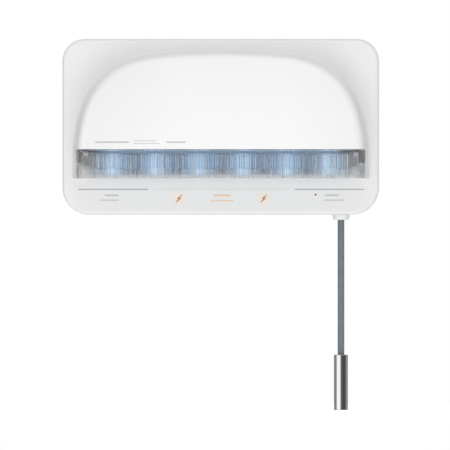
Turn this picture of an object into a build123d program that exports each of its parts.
from build123d import *
import math
import os

# Wall-mounted toothbrush sanitizer with a hinged visor and a pull cord, in millimetres.
# +X is to the viewer's right, +Y into the wall, +Z up.  The origin is the
# middle of the wall bracket's back face.  A depth, named with _D or d, is a
# distance out from the wall, so y = -depth.

# ---------------------------------------------------------------- shared dimensions
BODY_W, BODY_H = 270.0, 150.0
TOP_R, BOTTOM_R = 19.0, 23.0        # corner radii of the body
WALL = 2.2                          # shell wall
BACK_D = 1.0                        # rear cover's back face
FLOOR_D = 3.0                       # rear cover's inner face
SPLIT_D = 18.0                      # parting line between the two shells
PLATE_BACK_D, PLATE_D = 22.0, 24.0  # inner and front faces of the flat plate
SPAN = 140.0                        # half width of cuts right across the body

HOOD_D = 60.0                       # front of the hood
HOOD_TAPER = 4.0                    # lean of the hood's side walls over their depth
HOOD_R = 8.0                        # round-over of the hood's front edge
HOOD_BASE_R = 3.0                   # fillet between hood and plate
HOOD_BOTTOM = -44.1                 # open bottom of the hood
HOOD_FLAT_TOP = -10.0               # the hood's front is vertical up to here
HOOD_ARC_R = 200.0                  # then it leans back on this radius
HOOD_LOFT_D = 66.0                  # front section of the hood's loft, trimmed later
# Right half of the hood's arch from its crown down, (x, z), joined by smooth arcs
ARCH_POINTS = [(0.0, 65.0), (55.3, 62.4), (77.3, 57.9), (106.6, 38.4), (119.2, 16.4)]
ARCH_SIDE = 126.0                   # half width where the arch runs straight down

LIP_Z = -19.4                       # hood's lower lip, above the visor
VISOR_TOP_Y, VISOR_BOTTOM_Y = -44.0, -27.0  # ends of the visor's sloping rear edge
AXIS_Y, AXIS_Z = -56.2, -23.55      # visor hinge axis
HINGE_SCREWS = [(-34.6, -25.0), (-31.0, -25.0)]  # (y, z) on each side

PITCH = 37.0                        # spacing of brush slots, lamps and coils
SLOT_X = [PITCH * k for k in range(-2, 3)]
LAMP_Z = -31.0
LAMPS = [(PITCH * (k + 0.5), LAMP_Z) for k in range(-3, 3)]
LAMP_W, LAMP_H = 12.0, 17.0
COILS = [(-PITCH, -61.3), (PITCH, -61.3)]
LIGHT = (80.9, -58.0)               # status light

CORD_X, CORD_D, CORD_R = 102.7, 12.5, 3.0
PORT_X, PORT_D = -102.0, 10.0

# Screw and post centres, (x, z)
CORNER_SCREW = (125, -60)
FOOT_SCREWS = [(-60, -67.5), (60, -67.5)]
CASE_SCREWS = [(-125, 60), (125, 60), (-125, -60), CORNER_SCREW,
               (-45, 67.5), (45, 67.5)] + FOOT_SCREWS
LINER_SCREWS = [(-124.5, -10), (124.5, -10), (-107.5, 46), (107.5, 46), (-60, 66), (60, 66),
                (-82, -47.5), (82, -47.5), (-18, -47.5), (18, -47.5)]
BOARD_POSTS = [(24, 4), (106, 4), (24, 40), (106, 40)]
TRAY_POSTS = [(-116, 18), (-63, 48.5), (-10, 18)]
EAR_POSTS = [(108, -37.5), (117, -37.5)]
PORT_POSTS = [(PORT_X - 9, -62), (PORT_X + 9, -62)]
CARRIER_POSTS = [(-56, -61.3), (0, -61.3), (56, -61.3)]
LED_POSTS = [(x, LAMP_Z) for x in SLOT_X[::2]]

# Depths where the mounted pieces start, and their thicknesses
BOARD_D, BOARD_T = 11.0, 1.6
BOARD_FRONT_D = BOARD_D + BOARD_T
TRAY_D, TRAY_EAR_T = 9.0, 1.6
EAR_D, EAR_T = 7.0, 2.0             # switch housing's fixing ears
PORT_BOARD_D, PORT_BOARD_T = 6.8, 1.2
PORT_FRONT_D = PORT_BOARD_D + PORT_BOARD_T
HEATSINK_D, HEATSINK_T = 13.1, 1.5
LED_BOARD_D = HEATSINK_D + HEATSINK_T
LED_D = LED_BOARD_D + BOARD_T
LINER_D, LINER_T = 20.5, 1.5
CARRIER_D, CARRIER_T = 17.7, 1.5
FERRITE_D, FERRITE_T = CARRIER_D + CARRIER_T, 1.0
COIL_D, COIL_T = FERRITE_D + FERRITE_T, 1.5
CASE_SEAT_D = 4.0                   # seat of the case screws' heads


# ---------------------------------------------------------------- profiles
def discs(points, r, d):
    """Circles facing out from the wall, at depth d."""
    with BuildSketch(Plane.XZ.offset(d)) as s:
        with Locations(*points):
            Circle(r)
    return s.sketch


def panel(x0, x1, z0, z1, d, r=0.0):
    """Rectangle facing out from the wall, at depth d."""
    with BuildSketch(Plane.XZ.offset(d)) as s:
        with Locations(((x0 + x1) / 2, (z0 + z1) / 2)):
            if r:
                RectangleRounded(x1 - x0, z1 - z0, r)
            else:
                Rectangle(x1 - x0, z1 - z0)
    return s.sketch


def obrounds(points, w, h, d):
    """Upright obrounds facing out from the wall, at depth d."""
    with BuildSketch(Plane.XZ.offset(d)) as s:
        with Locations(*points):
            SlotOverall(h, w, rotation=90)
    return s.sketch


def front_polygon(points, d):
    """Polygon of (x, z) points facing out from the wall, at depth d."""
    with BuildSketch(Plane.XZ.offset(d)) as s:
        with BuildLine():
            Polyline(*points, close=True)
        make_face()
    return s.sketch


def side(points, x):
    """Polygon in side view, given as (y, z) points, at width x."""
    with BuildSketch(Plane.YZ.offset(x)) as s:
        with BuildLine():
            Polyline(*points, close=True)
        make_face()
    return s.sketch


def side_discs(points, r, x):
    """Circles in side view, centred on (y, z) points, at width x."""
    with BuildSketch(Plane.YZ.offset(x)) as s:
        with Locations(*points):
            Circle(r)
    return s.sketch


def port_slot(length, height, z):
    """Horizontal obround round the charging port's centre line, at height z."""
    with BuildSketch(Plane.XY.offset(z)) as s:
        with Locations((PORT_X, -PORT_D)):
            SlotOverall(length, height)
    return s.sketch


def rod(r, z0, z1):
    """Upright cylinder on the cord's centre line."""
    with BuildPart() as build:
        with BuildSketch(Plane.XY.offset(z0)):
            with Locations((CORD_X, -CORD_D)):
                Circle(r)
        extrude(amount=z1 - z0)
    return build.part


def both_sides(near, far):
    """Ranges (x0, x1) of a feature on the left and its mirror image on the right."""
    return ((-far, -near), (near, far))


def outline(inset, d):
    """Body outline moved in by inset, with larger radii at the bottom."""
    w, h = BODY_W / 2 - inset, BODY_H / 2 - inset
    rt, rb = TOP_R - inset, BOTTOM_R - inset
    with BuildSketch(Plane.XZ.offset(d)) as s:
        with BuildLine():
            Line((-w + rt, h), (w - rt, h))
            CenterArc((w - rt, h - rt), rt, 0, 90)
            Line((w, h - rt), (w, -h + rb))
            CenterArc((w - rb, -h + rb), rb, 270, 90)
            Line((w - rb, -h), (-w + rb, -h))
            CenterArc((-w + rb, -h + rb), rb, 180, 90)
            Line((-w, -h + rb), (-w, h - rt))
            CenterArc((-w + rt, h - rt), rt, 90, 90)
        make_face()
    return s.sketch


def pan_screws(points, seat_d, head_r, head_h, shank_r, length, outward=True):
    """Pan-head screws with a cross recess; outward shanks point away from the wall."""
    sign = 1 if outward else -1
    with BuildPart() as build:
        extrude(discs(points, head_r, seat_d), amount=-sign * head_h)
        circles = build.edges().filter_by(GeomType.CIRCLE).sort_by(Axis.Y)
        crowns = circles[-len(points):] if outward else circles[:len(points)]
        fillet(crowns, head_h * 0.35)
        extrude(discs(points, shank_r, seat_d), amount=sign * length)
        with BuildSketch(Plane.XZ.offset(seat_d - sign * head_h)):
            with Locations(*points):
                Rectangle(head_r * 1.1, head_r * 0.22)
                Rectangle(head_r * 0.22, head_r * 1.1)
        extrude(amount=sign * head_h * 0.55, mode=Mode.SUBTRACT)
    return build.part


# ---------------------------------------------------------------- hood form
def turned(x, z, angle):
    """Vector (x, z) turned anticlockwise by angle."""
    return (x * math.cos(angle) - z * math.sin(angle),
            x * math.sin(angle) + z * math.cos(angle))


def arch_arcs():
    """(start, middle, end) of each arc, each a point with its inward normal."""
    arcs = []
    tangent = (1.0, 0.0)
    for start, end in zip(ARCH_POINTS, ARCH_POINTS[1:] + [None]):
        normal = (tangent[1], -tangent[0])
        if end is None:
            # the last arc ends upright, at the arch's full half width
            radius = (ARCH_SIDE - start[0]) / (1 + normal[0])
            end = (ARCH_SIDE, start[1] + radius * normal[1])
        chord = (end[0] - start[0], end[1] - start[1])
        radius = ((chord[0] ** 2 + chord[1] ** 2)
                  / (2 * (chord[0] * normal[0] + chord[1] * normal[1])))
        centre = (start[0] + radius * normal[0], start[1] + radius * normal[1])
        # the chord makes half the arc's sweep with the starting tangent
        half = math.atan2(tangent[0] * chord[1] - tangent[1] * chord[0],
                          tangent[0] * chord[0] + tangent[1] * chord[1])

        def on_arc(angle):
            x, z = turned(start[0] - centre[0], start[1] - centre[1], angle)
            return (centre[0] + x, centre[1] + z, -x / radius, -z / radius)

        arcs.append((on_arc(0), on_arc(half), on_arc(2 * half)))
        tangent = turned(*tangent, 2 * half)
    return arcs


ARCS = arch_arcs()


def arch(inset, d, bottom):
    """Arched hood outline moved in by inset, with straight sides down to bottom."""

    def moved(point, sign):
        x, z, normal_x, normal_z = point
        return (sign * (x + inset * normal_x), z + inset * normal_z)

    with BuildSketch(Plane.XZ.offset(d)) as s:
        with BuildLine():
            for sign in (1, -1):
                for arc in ARCS:
                    ThreePointArc(*[moved(point, sign) for point in arc])
                end = moved(ARCS[-1][2], sign)
                Line(end, (end[0], bottom))
            Line((end[0], bottom), (-end[0], bottom))
        make_face()
    return s.sketch


def hood_side(inset, bottom):
    """Side view of the hood: vertical front, leaning back towards the top."""
    front, radius = HOOD_D - inset, HOOD_ARC_R - inset
    middle, top = 40, 85            # heights on the arc; top clears the crown

    def arc_y(z):
        return -(HOOD_D - HOOD_ARC_R + math.sqrt(radius ** 2 - (z - HOOD_FLAT_TOP) ** 2))

    with BuildSketch(Plane.YZ.offset(-SPAN)) as s:
        with BuildLine():
            Polyline((arc_y(top), top), (-10, top), (-10, bottom),
                     (-front, bottom), (-front, HOOD_FLAT_TOP))
            ThreePointArc((-front, HOOD_FLAT_TOP), (arc_y(middle), middle), (arc_y(top), top))
        make_face()
    return s.sketch


def front_rim(part):
    """Edges round the hood's front, leaving out its straight level edges."""
    low = part.bounding_box().min.Z
    rim = ShapeList()
    for face in part.faces():
        if face.center().Y >= -40 or abs(face.normal_at(face.center()).Y) <= 0.8:
            continue
        for edge in face.edges():
            heights = [vertex.Z for vertex in edge.vertices()]
            middle = edge.center()
            level = max(heights) - min(heights) < 0.01
            seam = level and abs(middle.X) < 1 and middle.Z < 20
            at_bottom = max(heights) < low + 0.01
            if not seam and not at_bottom:
                rim.append(edge)
    return rim


def lean_at(d):
    """How far the hood's side walls have leaned in at depth d."""
    return HOOD_TAPER * (d - PLATE_D) / (HOOD_D - PLATE_D)


def hood_solid(inset, back_d, bottom):
    """The hood's form as a solid, moved in by inset."""
    with BuildPart() as build:
        loft(sections=[arch(inset + lean_at(d), d, bottom).face()
                       for d in (back_d, HOOD_LOFT_D)])
        extrude(hood_side(inset, bottom - 20), amount=2 * SPAN, mode=Mode.INTERSECT)
        fillet(front_rim(build.part), HOOD_R - inset)
    return build.part


def visor_region(gap):
    """Side view of the space the visor fills, drawn in by gap at the rear and top."""
    run, rise = VISOR_BOTTOM_Y - VISOR_TOP_Y, HOOD_BOTTOM - LIP_Z
    length = math.hypot(run, rise)
    shift_y, shift_z = gap * rise / length, -gap * run / length
    top_z = LIP_Z - gap
    top_y = VISOR_TOP_Y + shift_y + (top_z - LIP_Z - shift_z) * run / rise
    bottom_y, bottom_z = VISOR_BOTTOM_Y + shift_y, HOOD_BOTTOM + shift_z
    front, below = -75, -60
    return side([(front, top_z), (top_y, top_z), (bottom_y, bottom_z),
                 (bottom_y, below), (front, below)], -SPAN)


# ---------------------------------------------------------------- wall bracket
BRACKET_T = 3.0
HOOKS = [(x, z) for x in (-36.0, 36.0) for z in (8.0, -20.0)]
HOOK_W = 14.0
# Hook in side view: (y, height above the hook's z)
HOOK_PROFILE = [(-2.8, 0), (-7.6, 0), (-8.2, 0.6), (-8.2, 9.4), (-7.6, 10),
                (-6.4, 10), (-5.8, 9.2), (-5.8, 4), (-2.8, 4)]


def wall_bracket():
    """Plate with four upturned hooks and four countersunk holes."""
    with BuildPart() as build:
        with BuildSketch(Plane.XZ):
            RectangleRounded(150, 56, 6)
        extrude(amount=BRACKET_T)
        fillet(build.faces().sort_by(Axis.Y)[0].edges(), 0.6)
        for x, z in HOOKS:
            profile = [(y, z + up) for y, up in HOOK_PROFILE]
            extrude(side(profile, x - HOOK_W / 2), amount=HOOK_W)
        with Locations(Plane.XZ.offset(BRACKET_T)):
            with GridLocations(116, 36, 2, 2):
                CounterSinkHole(radius=2.25, counter_sink_radius=4.4)
    return build.part


# ---------------------------------------------------------------- shells
FLOOR_FOOT_D, POCKET_FOOT_D = 2.8, 4.5  # where posts start, sunk in floor or pocket
PILOT_L = 6.0
# Rear cover's posts: (centres, radius, foot depth, top depth, pilot radius, pilot depth)
COVER_POSTS = [
    (BOARD_POSTS[:1], 2.5, POCKET_FOOT_D, BOARD_D, 1.0, 6.0),
    (BOARD_POSTS[1:], 2.5, FLOOR_FOOT_D, BOARD_D, 1.0, 6.0),
    (TRAY_POSTS[:2], 2.8, FLOOR_FOOT_D, TRAY_D, 1.0, 5.6),
    (TRAY_POSTS[2:], 2.8, POCKET_FOOT_D, TRAY_D, 1.0, 5.6),
    (EAR_POSTS, 2.8, FLOOR_FOOT_D, EAR_D, 1.0, 3.8),
    (PORT_POSTS, 2.5, FLOOR_FOOT_D, PORT_BOARD_D, 0.9, 3.6),
]
# Front casing's posts: (centres, radius, end depth, pilot radius, pilot length)
CASING_POSTS = [
    (CASE_SCREWS, 3.5, SPLIT_D, 1.5, 4.6),
    (LINER_SCREWS, 2.4, LINER_D, 1.0, 2.7),
    (CARRIER_POSTS, 2.5, FERRITE_D, 0.9, 3.6),
]
CASING_POST_ROOT_D = PLATE_BACK_D + 0.2
BELOW_BODY = -76.0                  # cuts through the bottom wall start here
GASKET_OUT, GASKET_IN, GASKET_T = 0.6, 1.6, 1.0  # insets and thickness


def rear_cover():
    """Rear shell: pocket for the bracket, posts, cord hole and port opening."""
    with BuildPart() as build:
        extrude(outline(0, BACK_D), amount=SPLIT_D - BACK_D)
        fillet(build.faces().sort_by(Axis.Y)[-1].edges(), 2.0)
        chamfer(build.faces().sort_by(Axis.Y)[0].edges(), 0.25)
        extrude(outline(WALL, FLOOR_D), amount=20, mode=Mode.SUBTRACT)
        # pocket that takes the wall bracket, with a window for each hook
        extrude(panel(-79, 79, -38.5, 32, 2.5, 4), amount=2.9)
        extrude(panel(-77, 77, -36.5, 30, 0, 3), amount=3.4, mode=Mode.SUBTRACT)
        for x, z in HOOKS:
            extrude(panel(x - 8, x + 8, z - 7, z + 4, 3), amount=3, mode=Mode.SUBTRACT)
        # case screw posts, counterbored from the back
        extrude(discs(CASE_SCREWS, 4.0, 2.5), amount=SPLIT_D - 2.5)
        extrude(discs(CASE_SCREWS, 3.2, 0), amount=CASE_SEAT_D, mode=Mode.SUBTRACT)
        extrude(discs(CASE_SCREWS, 1.7, 0), amount=SPLIT_D, mode=Mode.SUBTRACT)
        for points, radius, foot, top, pilot_r, pilot_d in COVER_POSTS:
            extrude(discs(points, radius, foot), amount=top - foot)
            extrude(discs(points, pilot_r, pilot_d), amount=PILOT_L, mode=Mode.SUBTRACT)
        # cord hole and charging port in the bottom wall
        add(rod(4.5, BELOW_BODY, BELOW_BODY + 4), mode=Mode.SUBTRACT)
        extrude(port_slot(9.6, 3.8, BELOW_BODY), amount=4, mode=Mode.SUBTRACT)
        extrude(port_slot(14.4, 7.4, BELOW_BODY), amount=2.0, mode=Mode.SUBTRACT)
    return build.part


def filleted_hood():
    """Solid hood standing on a piece of the plate, filleted where they meet."""
    with BuildPart() as build:
        add(hood_solid(0.0, 22.5, HOOD_BOTTOM - 10))
        extrude(panel(-150, 150, HOOD_BOTTOM - 10, 90, PLATE_BACK_D),
                amount=PLATE_D - PLATE_BACK_D)
        base = [e for e in build.edges()
                if abs(e.center().Y + PLATE_D) < 0.01 and abs(e.center().X) < 127
                and HOOD_BOTTOM - 9 < e.center().Z < 66]
        fillet(base, HOOD_BASE_R)
        extrude(panel(-150, 150, HOOD_BOTTOM - 30, HOOD_BOTTOM, 0), amount=80,
                mode=Mode.SUBTRACT)
        extrude(outline(3.4, PLATE_BACK_D), amount=45, mode=Mode.INTERSECT)
    return build.part


def front_casing():
    """Front shell with its hollow hood, posts, rack guides and hinge bosses."""
    hood = filleted_hood()
    hood_inside = hood_solid(WALL, 20.0, HOOD_BOTTOM - 8)
    with BuildPart() as build:
        extrude(outline(0, SPLIT_D), amount=PLATE_D - SPLIT_D)
        fillet(build.faces().sort_by(Axis.Y)[0].edges(), 3.2)
        chamfer(build.faces().sort_by(Axis.Y)[-1].edges(), 0.25)
        extrude(outline(WALL, 10), amount=PLATE_BACK_D - 10, mode=Mode.SUBTRACT)
        # gasket groove in the rim
        extrude(outline(GASKET_OUT, SPLIT_D - 0.5), amount=GASKET_T + 0.5, mode=Mode.SUBTRACT)
        extrude(outline(GASKET_IN, SPLIT_D), amount=GASKET_T)
        extrude(outline(WALL, SPLIT_D), amount=GASKET_T, mode=Mode.SUBTRACT)
        add(hood)
        # hollow hood, open below; opening through the plate
        cavity = split(hood_inside, bisect_by=Plane.XZ.offset(PLATE_D), keep=Keep.TOP,
                       mode=Mode.PRIVATE)
        add(cavity, mode=Mode.SUBTRACT)
        extrude(arch(8, 20, -40), amount=8, mode=Mode.SUBTRACT)
        # room for the visor
        extrude(visor_region(0.0), amount=2 * SPAN, mode=Mode.SUBTRACT)
        for points, radius, end, pilot_r, pilot_l in CASING_POSTS:
            extrude(discs(points, radius, end), amount=CASING_POST_ROOT_D - end)
            extrude(discs(points, pilot_r, end), amount=pilot_l, mode=Mode.SUBTRACT)
        # status light hole
        extrude(discs([LIGHT], 0.8, 20), amount=6, mode=Mode.SUBTRACT)
        # grooved rack guides low inside the hood
        for x0, x1 in both_sides(112.0, 124.3):
            extrude(side([(-23.75, -44.1), (-26.6, -44.1), (-31.0, -37.8),
                          (-31.0, -34.0), (-23.75, -34.0)], x0), amount=x1 - x0)
        for x0, x1 in both_sides(111.0, 116.2):
            extrude(panel(x0, x1, -46, -35.9, 26.4), amount=2.8, mode=Mode.SUBTRACT)
        # hinge arm bosses above them
        for x0, x1 in both_sides(116.4, 123.2):
            extrude(side([(-36.5, -28.0), (-36.5, -22.0), (-29.0, -22.0), (-29.0, -28.0)], x0),
                    amount=x1 - x0)
        for s in (-1, 1):
            extrude(side_discs(HINGE_SCREWS, 0.8, s * 116.4), amount=s * 4.5,
                    mode=Mode.SUBTRACT)
    return build.part


def case_gasket():
    """Flat ring in the groove of the casing's rim."""
    with BuildPart() as build:
        extrude(outline(GASKET_OUT, SPLIT_D), amount=GASKET_T)
        extrude(outline(GASKET_IN, SPLIT_D), amount=GASKET_T, mode=Mode.SUBTRACT)
    return build.part


def case_screws():
    return pan_screws(CASE_SCREWS, seat_d=CASE_SEAT_D, head_r=2.8, head_h=2.2,
                      shank_r=1.45, length=18.2)


# ---------------------------------------------------------------- UV chamber
def chamber_liner():
    """Arched liner frame with a strip of lamp openings across the bottom."""
    with BuildPart() as build:
        extrude(arch(5, LINER_D, -43.5), amount=LINER_T)
        extrude(arch(8.3, LINER_D + LINER_T, -39.7), amount=1.6)
        extrude(arch(12, LINER_D, -39), amount=LINER_T, mode=Mode.SUBTRACT)
        extrude(panel(-113, 113, -42, -19.5, LINER_D), amount=LINER_T)
        extrude(obrounds(LAMPS, LAMP_W + 0.3, LAMP_H + 0.3, 20), amount=5, mode=Mode.SUBTRACT)
        extrude(discs(LED_POSTS, 2.6, LED_D), amount=4.6)
        extrude(discs(LED_POSTS, 1.0, LED_D), amount=5.4, mode=Mode.SUBTRACT)
        extrude(discs(LINER_SCREWS, 2.5, 20), amount=3, mode=Mode.SUBTRACT)
    return build.part


def liner_screws():
    return pan_screws(LINER_SCREWS, seat_d=LINER_D, head_r=3.6, head_h=1.4,
                      shank_r=0.98, length=2.6)


def reflector_sheet():
    """Thin arched sheet that ends above the lamps."""
    with BuildPart() as build:
        extrude(arch(13, 23.6, -39), amount=0.5)
        extrude(panel(-130, 130, -45, -17, 23), amount=3, mode=Mode.SUBTRACT)
    return build.part


def uv_lenses():
    """Flanged lenses with rounded fronts, hollow from behind."""
    with BuildPart() as build:
        extrude(obrounds(LAMPS, LAMP_W + 3, LAMP_H + 3, 18.7), amount=1.0)
        extrude(obrounds(LAMPS, LAMP_W, LAMP_H, 19), amount=6.0)
        fronts = build.faces().filter_by(Axis.Y).sort_by(Axis.Y)[:len(LAMPS)]
        fillet(fronts.edges(), 1.6)
        extrude(obrounds(LAMPS, LAMP_W - 0.4, LAMP_H - 0.4, 16.3), amount=2.6)
        extrude(obrounds(LAMPS, LAMP_W - 3, LAMP_H - 3, 16), amount=7.4, mode=Mode.SUBTRACT)
    return build.part


def lens_seals():
    """Obround rings in front of the lens flanges."""
    seal_d, seal_t = 19.7, 0.8
    with BuildPart() as build:
        extrude(obrounds(LAMPS, LAMP_W + 2.6, LAMP_H + 2.6, seal_d), amount=seal_t)
        extrude(obrounds(LAMPS, LAMP_W + 0.2, LAMP_H + 0.2, seal_d), amount=seal_t,
                mode=Mode.SUBTRACT)
    return build.part


def led_board():
    with BuildPart() as build:
        extrude(panel(-100, 100, -42, -20, LED_BOARD_D, 2), amount=BOARD_T)
        extrude(discs(LED_POSTS, 1.3, 14), amount=4, mode=Mode.SUBTRACT)
    return build.part


def uv_leds():
    """Square packages, each with a round window."""
    half, height = 1.75, 1.0
    with BuildPart() as build:
        for x, z in LAMPS:
            extrude(panel(x - half, x + half, z - half, z + half, LED_D), amount=height)
            extrude(discs([(x, z)], 1.3, LED_D + height), amount=0.4)
    return build.part


def led_heatsink():
    """Plate with level fins on its rear face."""
    with BuildPart() as build:
        extrude(panel(-100, 100, -42, -20, HEATSINK_D), amount=HEATSINK_T)
        with BuildSketch(Plane.XZ.offset(HEATSINK_D)):
            with Locations((0, LAMP_Z)):
                with GridLocations(0, 4.0, 1, 6):
                    Rectangle(200, 1.2)
        extrude(amount=-1.6)
        # clear the fins round the screw heads
        extrude(discs(LED_POSTS, 3.0, 11), amount=HEATSINK_D - 11, mode=Mode.SUBTRACT)
        extrude(discs(LED_POSTS, 1.3, 11), amount=5, mode=Mode.SUBTRACT)
    return build.part


def led_screws():
    return pan_screws(LED_POSTS, seat_d=HEATSINK_D, head_r=2.4, head_h=1.5,
                      shank_r=0.98, length=7.6)


# ---------------------------------------------------------------- electronics
# Box-shaped parts on the main board: (x0, x1, z0, z1, height)
BOARD_BOXES = [
    (56, 66, 18, 28, 1.4), (38, 44, 28, 34, 2.6), (38, 43, 10, 14, 1.2),
    (78, 84, 30, 37, 3.0), (50, 58, 6, 10, 3.4), (22, 30, 22, 32, 4.2),
]
# Tray's fixing ears: (x0, x1, z0, z1)
TRAY_EARS = [(-119, -111.5, 14.5, 21.5), (-66.5, -59.5, 43.5, 51.5), (-14.5, -7, 14.5, 21.5)]
TRAY_FLOOR_D = 10.0
LEAD_Z, LEAD_R = (25.4, 28.6), 0.75
LEAD_RUN = [(-15.9, -17.95), (-12.5, -17.95), (14, -15.2), (22, -15.2)]  # (x, y)


def main_board():
    with BuildPart() as build:
        extrude(panel(20, 110, 0, 44, BOARD_D, 1.5), amount=BOARD_T)
        extrude(discs(BOARD_POSTS, 1.3, 10), amount=4, mode=Mode.SUBTRACT)
    return build.part


def board_components():
    with BuildPart() as build:
        for x0, x1, z0, z1, height in BOARD_BOXES:
            extrude(panel(x0, x1, z0, z1, BOARD_FRONT_D), amount=height)
        extrude(discs([(92, 14), (92, 26)], 3.15, BOARD_FRONT_D), amount=5.2)
        extrude(discs([(74, 12)], 4.0, BOARD_FRONT_D), amount=2.2)
    return build.part


def board_screws():
    return pan_screws(BOARD_POSTS, seat_d=BOARD_FRONT_D, head_r=2.2, head_h=1.3,
                      shank_r=0.98, length=6.0, outward=False)


def battery_tray():
    """Open tray with three fixing ears and two windows in its floor."""
    with BuildPart() as build:
        extrude(panel(-112, -14, -8, 44, TRAY_D, 2), amount=8.0)
        extrude(panel(-110.6, -15.4, -6.6, 42.6, TRAY_FLOOR_D, 1), amount=10,
                mode=Mode.SUBTRACT)
        for ear in TRAY_EARS:
            extrude(panel(*ear, TRAY_D, 1.5), amount=TRAY_EAR_T)
        extrude(discs(TRAY_POSTS, 1.3, 8), amount=4, mode=Mode.SUBTRACT)
        for z in (8, 34):
            extrude(panel(-100, -26, z - 4, z + 4, 8, 3), amount=3, mode=Mode.SUBTRACT)
    return build.part


def battery_pack():
    """Two flat cells joined by a narrow bridge."""
    with BuildPart() as build:
        for x0, x1 in ((-110, -63.4), (-62.6, -16)):
            extrude(panel(x0, x1, -6, 42, TRAY_FLOOR_D, 2), amount=8.0)
        fillet(build.faces().filter_by(Axis.Y).edges(), 0.9)
        extrude(panel(-68, -58, -4, 40, 11.5), amount=3.0)
    return build.part


def tray_screws():
    return pan_screws(TRAY_POSTS, seat_d=TRAY_D + TRAY_EAR_T, head_r=2.2, head_h=1.3,
                      shank_r=0.98, length=4.6, outward=False)


def battery_lead():
    """Two wires from the battery pack to the main board."""
    with BuildPart() as build:
        for z in LEAD_Z:
            points = [(x, y, z) for x, y in LEAD_RUN]
            with BuildLine() as run:
                Polyline(*points)
            with BuildSketch(Plane(origin=points[0], z_dir=(1, 0, 0))):
                Circle(LEAD_R)
            sweep(path=run.line, transition=Transition.ROUND)
    return build.part


def led_cable():
    """Flat cable from the main board down to the LED board."""
    with BuildPart() as build:
        extrude(side([(-12.65, 6), (-13.05, 6), (-13.05, -2), (-15.6, -14), (-15.6, -19.9),
                      (-15.2, -19.9), (-15.2, -14.2), (-12.65, -2.2)], 60), amount=12)
    return build.part


# ---------------------------------------------------------------- charging port
PLUG_BOTTOM = -75.0


def port_board():
    with BuildPart() as build:
        extrude(panel(-114, -90, -71.5, -52, PORT_BOARD_D, 1), amount=PORT_BOARD_T)
        extrude(discs(PORT_POSTS, 1.1, 6), amount=3, mode=Mode.SUBTRACT)
    return build.part


def port_screws():
    return pan_screws(PORT_POSTS, seat_d=PORT_FRONT_D, head_r=1.9, head_h=1.2,
                      shank_r=0.88, length=4.0, outward=False)


def usb_port():
    """Obround shell, open below, with a flat tongue inside and a foot on its board."""
    with BuildPart() as build:
        extrude(port_slot(9.0, 3.3, -73.9), amount=10)
        extrude(panel(PORT_X - 4.3, PORT_X + 4.3, -71.4, -64.2, PORT_FRONT_D), amount=2.0)
        extrude(port_slot(8.3, 2.6, -74.0), amount=7, mode=Mode.SUBTRACT)
        with BuildSketch(Plane.XY.offset(-73.2)):
            with Locations((PORT_X, -PORT_D)):
                Rectangle(6.6, 0.7)
        extrude(amount=7)
    return build.part


def port_plug():
    """Flat cap with a hollow stem that fills the port, notched in its lower face."""
    with BuildPart() as build:
        extrude(port_slot(14.0, 7.0, PLUG_BOTTOM), amount=0.98)
        with BuildSketch(Plane.XY.offset(-74.1)):
            with Locations((PORT_X, -PORT_D)):
                SlotOverall(8.1, 2.4)
                Rectangle(6.8, 0.9, mode=Mode.SUBTRACT)
        extrude(amount=4.5)
        with BuildSketch(Plane.XY.offset(PLUG_BOTTOM)):
            with Locations((PORT_X, -PORT_D + 2.9)):
                Rectangle(4, 0.5)
        extrude(amount=0.4, mode=Mode.SUBTRACT)
    return build.part


# ---------------------------------------------------------------- charging zones
COIL_R, COIL_BORE_R = 9.0, 4.2
COIL_GROOVE_IN, COIL_GROOVE_OUT, COIL_GROOVE_T = 7.68, 7.92, 0.2


def coil_carrier():
    """Plate behind the lower panel with two windows and screw clearances."""
    with BuildPart() as build:
        extrude(panel(-61, 61, -71, -51.6, CARRIER_D, 3), amount=CARRIER_T)
        for x0, x1 in both_sides(6, 30):
            extrude(panel(x0, x1, -67, -55.6, 17, 3), amount=3, mode=Mode.SUBTRACT)
        extrude(discs(CARRIER_POSTS, 1.2, 17), amount=3, mode=Mode.SUBTRACT)
        extrude(discs(FOOT_SCREWS, 4.4, 17), amount=3, mode=Mode.SUBTRACT)
    return build.part


def coil_ferrites():
    with BuildPart() as build:
        extrude(discs(COILS, 9.5, FERRITE_D), amount=FERRITE_T)
    return build.part


def charging_coils():
    """Flat rings with one circular groove in the front face."""
    groove_d = COIL_D + COIL_T - COIL_GROOVE_T
    with BuildPart() as build:
        extrude(discs(COILS, COIL_R, COIL_D), amount=COIL_T)
        extrude(discs(COILS, COIL_BORE_R, COIL_D), amount=COIL_T, mode=Mode.SUBTRACT)
        extrude(discs(COILS, COIL_GROOVE_OUT, groove_d), amount=0.3, mode=Mode.SUBTRACT)
        extrude(discs(COILS, COIL_GROOVE_IN, groove_d), amount=COIL_GROOVE_T)
        # reopen the bore through the refilled layer
        extrude(discs(COILS, COIL_BORE_R, groove_d), amount=0.3, mode=Mode.SUBTRACT)
    return build.part


def carrier_screws():
    return pan_screws(CARRIER_POSTS, seat_d=CARRIER_D, head_r=2.1, head_h=1.2,
                      shank_r=0.88, length=4.6)


def status_light_pipe():
    """Thin pin through the plate on a wider foot."""
    with BuildPart() as build:
        extrude(discs([LIGHT], 0.75, 21.9), amount=2.15)
        extrude(discs([LIGHT], 1.6, 20.6), amount=1.35)
    return build.part


def status_board():
    """Small board with a round light source on its front."""
    board_d, board_t = 17.4, 1.2
    with BuildPart() as build:
        extrude(panel(72, 89.5, -63, -53, board_d, 1), amount=board_t)
        extrude(discs([LIGHT], 1.4, board_d + board_t), amount=1.9)
    return build.part


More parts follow.
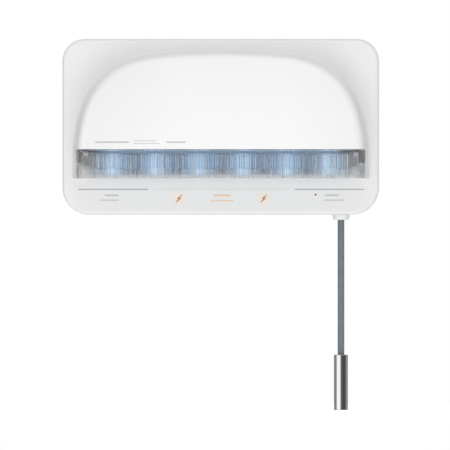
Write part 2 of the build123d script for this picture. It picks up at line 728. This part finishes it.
# ---------------------------------------------------------------- pull switch
BOX_X0, BOX_X1, BOX_Z0, BOX_Z1 = 90.0, 120.6, -70.5, -42.6  # switch housing
BOX_D, BOX_FRONT_D = 3.1, 18.0
GUIDE_D = 4.5                       # foot of the slider guides
GUIDE_TOP = BOX_Z1 - 0.5
PIVOT = (111.5, -65.0)              # lever pivot
CORNER_CLEAR_R = 4.5                # clearance round the corner case screw
CLAMP_BOTTOM = -49.0


def switch_housing():
    """Open box with slider guides and two fixing ears on top."""
    with BuildPart() as build:
        extrude(panel(BOX_X0, BOX_X1, BOX_Z0, BOX_Z1, BOX_D, 1.5), amount=BOX_FRONT_D - BOX_D)
        extrude(panel(BOX_X0 + 1.5, BOX_X1 - 1.2, BOX_Z0 + 1.5, BOX_Z1 - 1.0, 4.7, 0.5),
                amount=20, mode=Mode.SUBTRACT)
        extrude(discs([CORNER_SCREW], CORNER_CLEAR_R, 2), amount=20, mode=Mode.SUBTRACT)
        # slider guides
        extrude(panel(95.8, 97.5, BOX_Z0 + 1.0, GUIDE_TOP, GUIDE_D),
                amount=BOX_FRONT_D - GUIDE_D)
        extrude(panel(110.3, 112.0, -63.0, GUIDE_TOP, GUIDE_D), amount=4.6)
        extrude(panel(97.0, 110.6, -52.8, GUIDE_TOP, GUIDE_D), amount=2.9)
        # fixing ears
        extrude(panel(103.0, BOX_X1, -43.4, -34.2, EAR_D, 0.5), amount=EAR_T)
        extrude(discs(EAR_POSTS, 1.3, 6), amount=4, mode=Mode.SUBTRACT)
        # cord hole in the bottom
        add(rod(3.8, BOX_Z0 - 1, BOX_Z0 + 2), mode=Mode.SUBTRACT)
    return build.part


def switch_cover():
    """Flat lid with two tabs that reach into the housing."""
    with BuildPart() as build:
        extrude(panel(BOX_X0, BOX_X1, BOX_Z0, BOX_Z1, BOX_FRONT_D, 1.5), amount=1.4)
        extrude(discs([CORNER_SCREW], CORNER_CLEAR_R, 17), amount=5, mode=Mode.SUBTRACT)
        for z0, z1 in ((-68.8, -67.2), (-46.0, -44.4)):
            extrude(panel(91.7, 95.6, z0, z1, 15.0), amount=3.2)
    return build.part


def switch_screws():
    return pan_screws(EAR_POSTS, seat_d=EAR_D + EAR_T, head_r=2.2, head_h=1.3,
                      shank_r=0.98, length=5.0, outward=False)


def pull_slider():
    """Block on the cord, with a sloping cam flank and a stepped bore."""
    with BuildPart() as build:
        extrude(panel(97.7, 110.1, -53.0, -43.9, 7.6, 0.6), amount=9.8)
        # cam flank facing the switch lever
        extrude(front_polygon([(108.7, -53.1), (110.06, -44.0), (110.06, -43.0),
                               (112, -43.0), (112, -53.1)], 9.6),
                amount=5.8, mode=Mode.SUBTRACT)
        add(rod(3.1, -53.5, -41.5), mode=Mode.SUBTRACT)
        add(rod(4.4, CLAMP_BOTTOM, -41.0), mode=Mode.SUBTRACT)
    return build.part


def cord_clamp():
    """Ring round the cord, seated in the slider's wider bore."""
    with BuildPart() as build:
        with BuildSketch(Plane.XY.offset(CLAMP_BOTTOM)):
            with Locations((CORD_X, -CORD_D)):
                Circle(4.3)
                Circle(CORD_R, mode=Mode.SUBTRACT)
        extrude(amount=3.6)
        fillet(build.edges().filter_by(GeomType.CIRCLE).sort_by(Axis.Z)[-1], 0.4)
    return build.part


def return_spring():
    """Coil spring round the cord, below the slider."""
    with BuildPart() as build:
        coil = Helix(pitch=2.55, height=14.6, radius=4.35, center=(CORD_X, -CORD_D, -68.55))
        with BuildSketch(Plane(origin=coil @ 0, z_dir=coil % 0)):
            Circle(0.4)
        sweep(path=coil, is_frenet=True)
    return build.part


def microswitch():
    """Switch body with a button and two pivot lugs on its left side."""
    with BuildPart() as build:
        extrude(panel(113.4, 119.2, -67.4, -54.5, 9.4), amount=6.2)
        extrude(panel(112.6, 113.4, -58.6, -57.4, 11.7), amount=1.6)
        for lug_d in (9.4, 14.7):
            extrude(panel(110.2, 113.6, -66.4, -63.6, lug_d, 0.6), amount=0.9)
        extrude(discs([PIVOT], 0.56, 9), amount=7, mode=Mode.SUBTRACT)
    return build.part


def switch_lever():
    """Cranked lever with a roller at its upper end and a pivot pin below."""
    lever_d, lever_t = 10.5, 4.0
    with BuildPart() as build:
        extrude(front_polygon([(111.2, -65.4), (111.8, -65.4), (111.8, -56.0), (110.7, -52.0),
                               (110.0, -52.2), (111.2, -56.2)], lever_d), amount=lever_t)
        extrude(discs([(110.12, -52.0)], 1.2, 10.8), amount=3.4)
        extrude(discs([PIVOT], 0.9, lever_d), amount=lever_t)
        extrude(discs([PIVOT], 0.5, 9.6), amount=5.8)
    return build.part


# ---------------------------------------------------------------- cord and handle
CORD_END = -236.0
HANDLE_TOP, HANDLE_BOTTOM, HANDLE_R = -194.6, -241.9, 6.0
HANDLE_BORE_R = 4.9
HANDLE_BORE_TOP = HANDLE_TOP - 3.0
# Grommet's half section: (radius, z)
GROMMET_PROFILE = [(3.5, -71.3), (6.2, -71.3), (6.2, -72.75), (4.45, -72.75), (4.45, -75.05),
                   (7.5, -75.05), (7.4, -76.2), (6.3, -79.4), (5.3, -79.4), (3.5, -75.0)]


def cord_grommet():
    """Turned grommet gripping the bottom wall, flared below."""
    with BuildPart() as build:
        with BuildSketch(Plane.XZ.offset(CORD_D)):
            with BuildLine():
                Polyline(*[(CORD_X + r, z) for r, z in GROMMET_PROFILE], close=True)
            make_face()
        revolve(axis=Axis((CORD_X, -CORD_D, 0), (0, 0, 1)))
    return build.part


def cord_upper():
    """Length of cord inside the body."""
    with BuildPart() as build:
        add(rod(CORD_R, -74.6, -45.0))
        chamfer(build.edges().sort_by(Axis.Z)[-1], 0.4)
    return build.part


def cord_lower():
    """Length of cord below the body."""
    return rod(CORD_R, CORD_END, -77.2)


def pull_handle():
    """Rounded cylinder with a cord hole and a wider bore open below."""
    below = HANDLE_BOTTOM - 1
    with BuildPart() as build:
        add(rod(HANDLE_R, HANDLE_BOTTOM, HANDLE_TOP))
        fillet(build.edges().filter_by(GeomType.CIRCLE), 0.5)
        add(rod(CORD_R, below, HANDLE_TOP + 1), mode=Mode.SUBTRACT)
        add(rod(HANDLE_BORE_R, below, HANDLE_BORE_TOP), mode=Mode.SUBTRACT)
    return build.part


def handle_plug():
    """Fills the handle's bore round the end of the cord."""
    with BuildPart() as build:
        add(rod(HANDLE_BORE_R, HANDLE_BOTTOM + 0.6, HANDLE_BORE_TOP))
        add(rod(CORD_R, CORD_END, HANDLE_TOP), mode=Mode.SUBTRACT)
    return build.part


# ---------------------------------------------------------------- visor
VISOR_WALL = 2.0
CURL_R, CURL_IN = 3.8, 1.8          # outer and inner radii of the rolled top edge
CURL_END = 40                       # angle in degrees where the curl ends
CURL_HALF_W = 112.8
GROOVE_PITCH, GROOVE_R = 2.0, 0.55  # fine grooves of the inner face
GROOVE_FOOT = -50.0                 # grooves are cut from below the visor
PIN_R = 0.75
HINGE_SCREW_X = 113.3               # seat of the hinge screws' heads

VISOR_OUTER = hood_solid(0.0, 22.5, HOOD_BOTTOM)
VISOR_INNER = hood_solid(VISOR_WALL, 20.0, HOOD_BOTTOM - 8)


def side_grooves():
    """Groove centres (x, y) round the visor's corners and along its side wings."""
    lean = math.atan(HOOD_TAPER / (HOOD_D - PLATE_D))
    radius = HOOD_R - VISOR_WALL
    corner_x = ARCH_SIDE - lean_at(HOOD_D - HOOD_R) - HOOD_R / math.cos(lean)
    corner_y = -(HOOD_D - HOOD_R)
    points = []
    for s in (-1, 1):
        for k in range(1, 5):
            angle = -math.pi / 2 + k * GROOVE_PITCH / radius
            points.append((s * (corner_x + radius * math.cos(angle)),
                           corner_y + radius * math.sin(angle)))
        for k in range(13):
            along = k * GROOVE_PITCH + 0.8
            x = corner_x + radius * math.cos(lean) + along * math.sin(lean)
            y = corner_y - radius * math.sin(lean) + along * math.cos(lean)
            points.append((s * x, y))
    return points


def visor_lip():
    """Rounded top lip: a quarter disc about the hinge axis, kept to the visor's wall."""
    with BuildPart() as build:
        with BuildSketch(Plane.YZ.offset(-SPAN)):
            with Locations((AXIS_Y, AXIS_Z)):
                Circle(CURL_R)
                Rectangle(2 * CURL_R, 2 * CURL_R, align=(Align.MIN, Align.CENTER),
                          mode=Mode.SUBTRACT)
                Rectangle(2 * CURL_R, CURL_R, align=(Align.CENTER, Align.MAX),
                          mode=Mode.SUBTRACT)
        extrude(amount=2 * SPAN)
        add(VISOR_OUTER, mode=Mode.INTERSECT)
        add(VISOR_INNER, mode=Mode.SUBTRACT)
    return build.part


def visor():
    """Lower front of the hood as a shell, with a rolled top edge and inner grooves."""
    lip = visor_lip()
    with BuildPart() as build:
        add(VISOR_OUTER)
        add(VISOR_INNER, mode=Mode.SUBTRACT)
        extrude(visor_region(0.4), amount=2 * SPAN, mode=Mode.INTERSECT)
        # round the top lip about the hinge axis
        extrude(side([(-70, AXIS_Z), (AXIS_Y, AXIS_Z), (AXIS_Y, -15), (-70, -15)], -SPAN),
                amount=2 * SPAN, mode=Mode.SUBTRACT)
        add(lip)
        with BuildSketch(Plane.YZ.offset(-CURL_HALF_W)):
            with BuildLine():
                CenterArc((AXIS_Y, AXIS_Z), CURL_R, CURL_END, 180 - CURL_END)
                CenterArc((AXIS_Y, AXIS_Z), CURL_IN, CURL_END, 180 - CURL_END)
                end = math.radians(CURL_END)
                Line((AXIS_Y + CURL_R * math.cos(end), AXIS_Z + CURL_R * math.sin(end)),
                     (AXIS_Y + CURL_IN * math.cos(end), AXIS_Z + CURL_IN * math.sin(end)))
                Line((AXIS_Y - CURL_R, AXIS_Z), (AXIS_Y - CURL_IN, AXIS_Z))
            make_face()
        extrude(amount=2 * CURL_HALF_W)
        # fine upright grooves across the front, then round the corners and wings
        with BuildSketch(Plane.XY.offset(GROOVE_FOOT)):
            with Locations((0, -(HOOD_D - VISOR_WALL))):
                with GridLocations(GROOVE_PITCH, 0, 115, 1):
                    Circle(GROOVE_R)
        extrude(amount=-24.6 - GROOVE_FOOT, mode=Mode.SUBTRACT)
        with BuildSketch(Plane.XY.offset(GROOVE_FOOT)):
            with Locations(*side_grooves()):
                Circle(GROOVE_R)
        extrude(amount=-21.0 - GROOVE_FOOT, mode=Mode.SUBTRACT)
    return build.part


def visor_ears():
    """Blocks inside the visor's ends, bored for the hinge pins."""
    with BuildPart() as build:
        for x0, x1 in both_sides(116.6, 124.0):
            extrude(side([(-59.5, -31.0), (-47.0, -31.0), (-47.0, -20.8), (-59.5, -20.8)], x0),
                    amount=x1 - x0)
        add(VISOR_INNER, mode=Mode.INTERSECT)
        extrude(side_discs([(AXIS_Y, AXIS_Z)], PIN_R, -130), amount=260, mode=Mode.SUBTRACT)
    return build.part


def hinge_pins():
    with BuildPart() as build:
        for s in (-1, 1):
            extrude(side_discs([(AXIS_Y, AXIS_Z)], PIN_R, s * 113.0), amount=s * 4.9)
    return build.part


def hinge_arms():
    """Flat arms from the casing's bosses forward to the hinge axis."""
    with BuildPart() as build:
        for x0, x1 in both_sides(HINGE_SCREW_X, HINGE_SCREW_X + 3.0):
            with BuildSketch(Plane.YZ.offset(x0)):
                with Locations((AXIS_Y, AXIS_Z)):
                    Circle(1.6)
                with BuildLine():
                    Polyline((AXIS_Y - 0.4, AXIS_Z - 1.5), (AXIS_Y + 0.6, AXIS_Z + 0.3),
                             (-50.0, -22.8), (-36.8, -22.4), (-29.4, -22.4),
                             (-29.4, -28.0), (-44.0, -28.0), close=True)
                make_face()
                with Locations((AXIS_Y, AXIS_Z)):
                    Circle(0.81, mode=Mode.SUBTRACT)
                with Locations(*HINGE_SCREWS):
                    Circle(0.95, mode=Mode.SUBTRACT)
            extrude(amount=x1 - x0)
    return build.part


def hinge_screws():
    """Flat-headed screws with a cross recess, pointing outward to each side."""
    head_h = 1.0
    with BuildPart() as build:
        for s in (-1, 1):
            extrude(side_discs(HINGE_SCREWS, 1.6, s * HINGE_SCREW_X), amount=-s * head_h)
            extrude(side_discs(HINGE_SCREWS, 0.78, s * HINGE_SCREW_X), amount=s * 6.8)
            with BuildSketch(Plane.YZ.offset(s * (HINGE_SCREW_X - head_h))):
                with Locations(*HINGE_SCREWS):
                    Rectangle(1.9, 0.4)
                    Rectangle(0.4, 1.9)
            extrude(amount=s * 0.5, mode=Mode.SUBTRACT)
    return build.part


# ---------------------------------------------------------------- brush rack
RACK_BOTTOM, RACK_T = -41.0, 5.0
RACK_Y = -40.0                      # middle of the rack and centre of the slots' round ends
SLOT_R, SLOT_W = 6.0, 9.4           # round end and open part of each slot


def slot_points(y):
    """One point (x, y) for each brush slot."""
    return [(x, y) for x in SLOT_X]


def brush_rack():
    """Shelf with side tongues for the guides and keyhole slots open to the front."""
    with BuildPart() as build:
        with BuildSketch(Plane.XY.offset(RACK_BOTTOM)):
            with Locations((0, RACK_Y)):
                Rectangle(222.6, 28)
            with Locations((0, -28)):
                Rectangle(231.2, 2.2)
        extrude(amount=RACK_T)
        fillet(build.edges().filter_by(Axis.Z).filter_by(lambda e: e.center().Y < -50), 5)
        with BuildSketch(Plane.XY.offset(RACK_BOTTOM - 1)):
            with Locations(*slot_points(RACK_Y)):
                Circle(SLOT_R)
            with Locations(*slot_points(RACK_Y - 10)):
                Rectangle(SLOT_W, 20)
        extrude(amount=8, mode=Mode.SUBTRACT)
        chamfer(build.faces().sort_by(Axis.Z)[-1].edges(), 0.4)
    return build.part


def slot_grips():
    """Linings of the slots, open to the front."""
    with BuildPart() as build:
        with BuildSketch(Plane.XY.offset(RACK_BOTTOM + 0.4)):
            with Locations(*slot_points(RACK_Y)):
                Circle(SLOT_R)
            with Locations(*slot_points(RACK_Y - 6)):
                Rectangle(SLOT_W, 12)
            with Locations(*slot_points(RACK_Y)):
                Circle(4.7, mode=Mode.SUBTRACT)
            with Locations(*slot_points(RACK_Y - 7)):
                Rectangle(7.0, 15, mode=Mode.SUBTRACT)
        extrude(amount=4.2)
    return build.part


# ---------------------------------------------------------------- export
PIECES = [
    wall_bracket, rear_cover, front_casing, case_gasket, case_screws,
    chamber_liner, liner_screws, reflector_sheet, uv_lenses, lens_seals,
    led_board, uv_leds, led_heatsink, led_screws,
    main_board, board_components, board_screws, battery_tray, battery_pack, tray_screws,
    battery_lead, led_cable, port_board, port_screws, usb_port, port_plug,
    coil_carrier, coil_ferrites, charging_coils, carrier_screws,
    status_light_pipe, status_board,
    switch_housing, switch_cover, switch_screws, pull_slider, cord_clamp, return_spring,
    microswitch, switch_lever, cord_grommet, cord_upper, cord_lower, pull_handle, handle_plug,
    visor, visor_ears, hinge_pins, hinge_arms, hinge_screws, brush_rack, slot_grips,
]

os.makedirs("parts", exist_ok=True)
for make_piece in PIECES:
    piece = make_piece()
    piece.label = make_piece.__name__
    export_step(piece, f"parts/{piece.label}.step")
